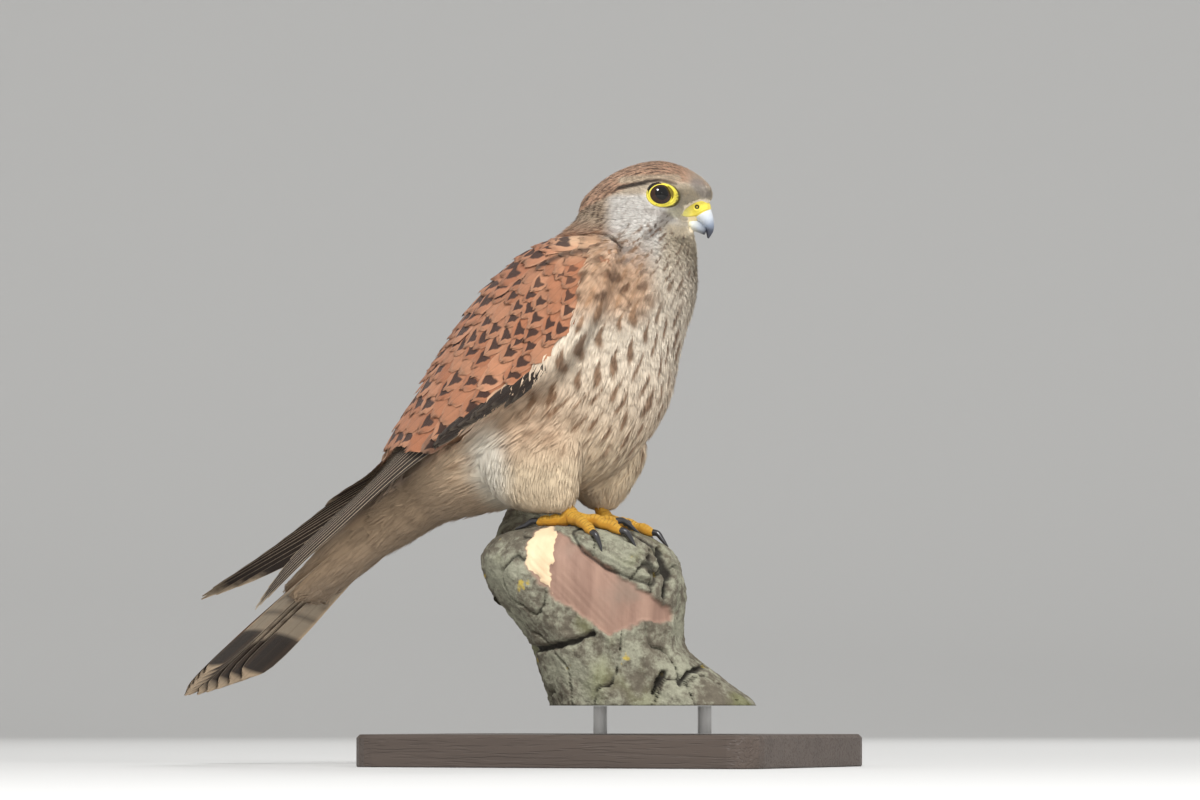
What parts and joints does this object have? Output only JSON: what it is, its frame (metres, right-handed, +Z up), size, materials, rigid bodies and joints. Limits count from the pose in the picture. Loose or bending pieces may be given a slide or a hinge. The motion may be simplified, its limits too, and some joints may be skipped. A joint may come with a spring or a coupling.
{
  "type": "common kestrel",
  "caption": "Life-size model of a female common kestrel standing alert on a broken dead branch, held over a flat display stand.",
  "frame": {"origin": "centre of the underside of the display stand's base", "axes": "+X is the way the bird's body faces, +Y is the bird's left, +Z is up"},
  "size_m": [0.3091, 0.1377, 0.2624],
  "materials": {
    "back_plumage": "matt barbs of the rufous back and wing feathers",
    "breast_plumage": "matt buff body feathers",
    "head_plumage": "matt short head feathers",
    "tail_feathers": "matt, slightly silky tail feathers",
    "bill_horn": "smooth horn, dark at the tip",
    "cere_skin": "waxy bare skin",
    "eye": "wet, very dark brown",
    "foot_skin": "scaly bare skin",
    "claw_horn": "black horn",
    "bark": "weathered bark with lichen and bare dead wood",
    "stand_base": "dark satin finish",
    "stand_rod": "satin"
  },
  "bodies": {
    "root": {"bill_lower": "bill_horn", "bill_upper": "bill_horn", "cere": "cere_skin", "claw_left_back": "claw_horn", "claw_left_inner": "claw_horn", "claw_left_middle": "claw_horn", "claw_left_outer": "claw_horn", "claw_right_back": "claw_horn", "claw_right_inner": "claw_horn", "claw_right_middle": "claw_horn", "claw_right_outer": "claw_horn", "eye_left": "eye", "eye_right": "eye", "foot_left": "foot_skin", "foot_right": "foot_skin", "head": "head_plumage", "neck": "breast_plumage", "perch": "bark", "stand_base": "stand_base", "stand_rod_1": "stand_rod", "stand_rod_2": "stand_rod", "tail": "tail_feathers", "thigh_left": "breast_plumage", "thigh_right": "breast_plumage", "torso": "breast_plumage", "wing_left": "back_plumage", "wing_right": "back_plumage"}
  },
  "joints": []
}
